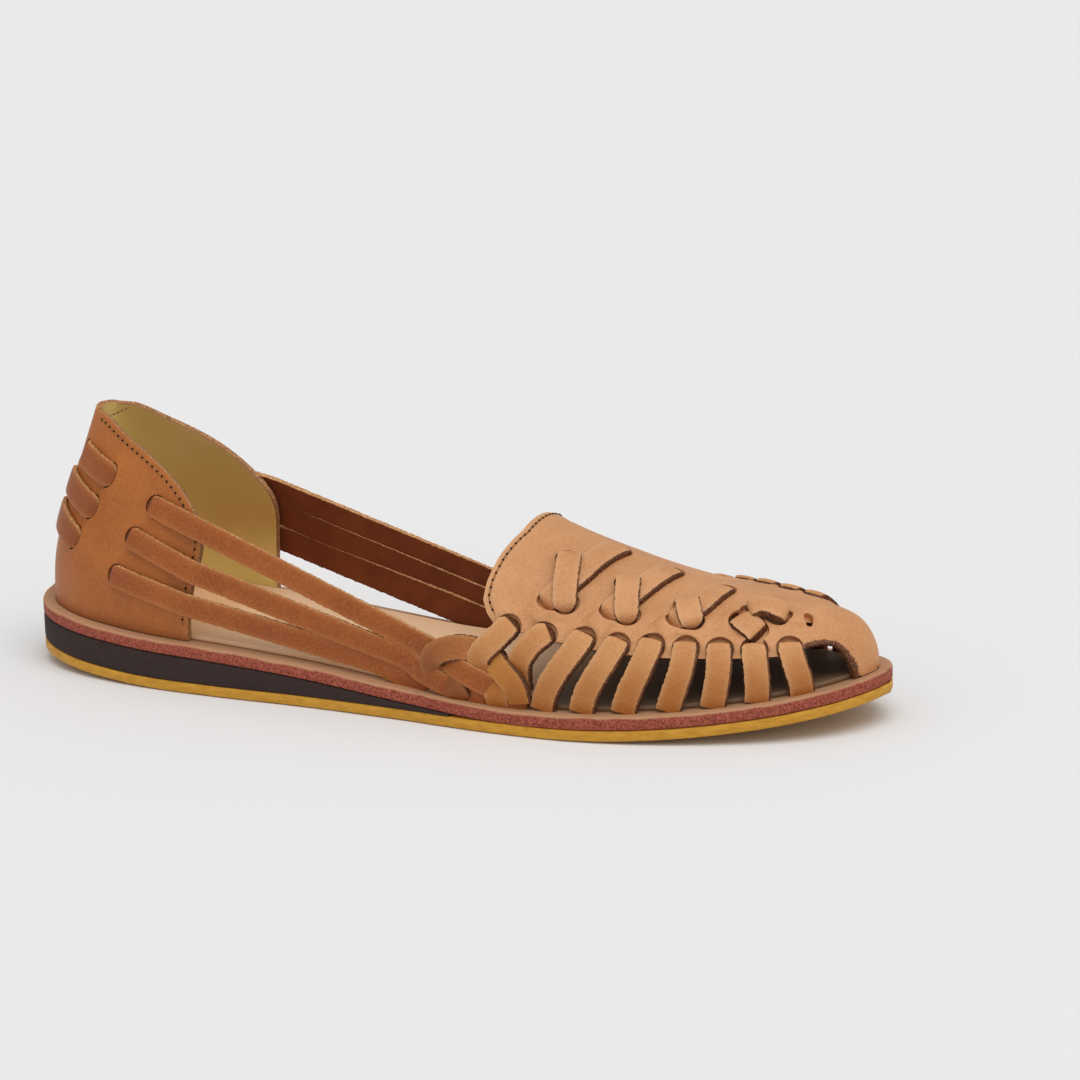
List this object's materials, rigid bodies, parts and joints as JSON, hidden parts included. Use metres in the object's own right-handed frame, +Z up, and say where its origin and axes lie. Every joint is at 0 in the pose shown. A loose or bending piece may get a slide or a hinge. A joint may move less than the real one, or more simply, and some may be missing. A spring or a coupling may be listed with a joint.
{
  "type": "huarache sandal",
  "caption": "Woven leather flat with an open waist: a strapped vamp and closed toe, a high heel counter, side straps between them, and a flat layered sole.",
  "frame": {"origin": "on the floor under the middle of the shoe's length, on the flat underside of the outsole", "axes": "+X from the heel to the toe, +Y to the inner side of the foot, +Z up"},
  "size_m": [0.262, 0.0821, 0.0752],
  "materials": {
    "vamp_leather": "light tan veg-tanned leather, semi-matte, fine grain",
    "quarter_leather": "russet tan leather, semi-matte, smooth",
    "footbed_leather": "pale natural leather, matte",
    "welt_leather": "stacked leather board, burnished edge with an open grain",
    "wedge_rubber": "matte dark brown foam rubber",
    "crepe_rubber": "honey crepe rubber, slightly translucent, matte"
  },
  "bodies": {
    "root": {"outsole": "crepe_rubber", "midsole_wedge": "wedge_rubber", "welt": "welt_leather", "insole": "footbed_leather", "heel_counter": "quarter_leather", "upper": "vamp_leather", "back_strap_outer_1": "quarter_leather", "back_strap_outer_2": "quarter_leather", "back_strap_outer_3": "quarter_leather", "back_strap_inner_1": "quarter_leather", "back_strap_inner_2": "quarter_leather", "back_strap_inner_3": "quarter_leather", "lacing_cross_1": "vamp_leather", "lacing_cross_2": "vamp_leather", "lacing_cross_3": "vamp_leather", "lacing_cross_4": "vamp_leather"}
  },
  "joints": []
}
